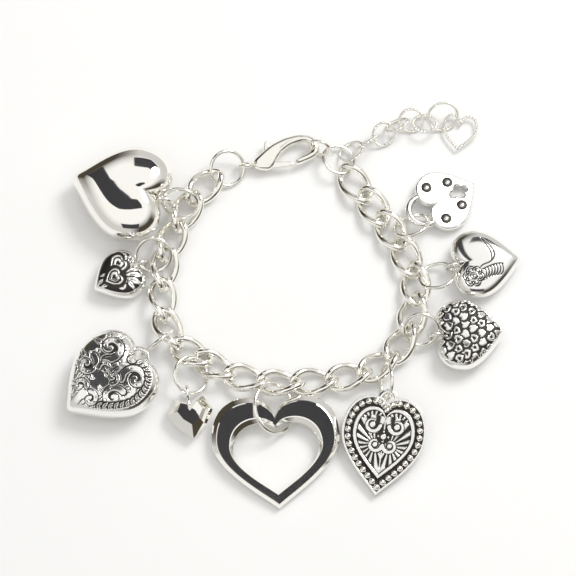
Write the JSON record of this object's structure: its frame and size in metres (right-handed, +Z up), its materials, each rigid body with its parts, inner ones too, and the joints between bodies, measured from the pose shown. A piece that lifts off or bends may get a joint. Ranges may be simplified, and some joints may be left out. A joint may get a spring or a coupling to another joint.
{
  "type": "charm bracelet",
  "caption": "Silver-plated curb chain bracelet with heart and padlock charms on jump rings, a lobster clasp and an extension chain ending in a wire heart.",
  "frame": {"origin": "on the table, at the middle of the bracelet's footprint", "axes": "+X to the right in the picture, from the plain heart towards the rose heart; +Y away from the viewer, from the open heart towards the clasp; +Z up from the table"},
  "size_m": [0.1088, 0.1018, 0.011],
  "materials": {
    "bright_silver": "polished silver plate",
    "darkened_silver": "silver plate with darkened recesses"
  },
  "bodies": {
    "bracelet": {"catch_ring": "bright_silver", "charm_beaded_heart": "darkened_silver", "charm_faceted_heart": "bright_silver", "charm_little_hearts": "darkened_silver", "charm_many_hearts": "darkened_silver", "charm_open_heart": "bright_silver", "charm_padlock": "darkened_silver", "charm_plain_heart": "bright_silver", "charm_rose_heart": "darkened_silver", "charm_scroll_heart": "darkened_silver", "clasp_body": "bright_silver", "clasp_end_ring": "bright_silver", "end_ring": "bright_silver", "ext_heart": "bright_silver", "ext_ring_1": "bright_silver", "ext_ring_2": "bright_silver", "ext_ring_3": "bright_silver", "ext_ring_4": "bright_silver", "ext_ring_5": "bright_silver", "ext_ring_6": "bright_silver", "ext_ring_7": "bright_silver", "link_01": "bright_silver", "link_02": "bright_silver", "link_03": "bright_silver", "link_04": "bright_silver", "link_05": "bright_silver", "link_06": "bright_silver", "link_07": "bright_silver", "link_08": "bright_silver", "link_09": "bright_silver", "link_10": "bright_silver", "link_11": "bright_silver", "link_12": "bright_silver", "link_13": "bright_silver", "link_14": "bright_silver", "link_15": "bright_silver", "link_16": "bright_silver", "link_17": "bright_silver", "link_18": "bright_silver", "link_19": "bright_silver", "link_20": "bright_silver", "ring_beaded_heart": "bright_silver", "ring_faceted_heart": "bright_silver", "ring_little_hearts": "bright_silver", "ring_many_hearts": "bright_silver", "ring_open_heart": "bright_silver", "ring_padlock": "bright_silver", "ring_plain_heart": "bright_silver", "ring_rose_heart": "bright_silver", "ring_scroll_heart": "bright_silver"},
    "lever": {"clasp_lever": "bright_silver"}
  },
  "joints": [
    {"name": "lever_pivot", "type": "hinge", "parent": "bracelet", "child": "lever", "pos_m": [-0.00675, 0.03603, 0.0022], "axis": [-0.0348, -0.0024, 0.9994], "range_deg": [0, 18], "stiffness_Nm_per_rad": 0.002}
  ]
}
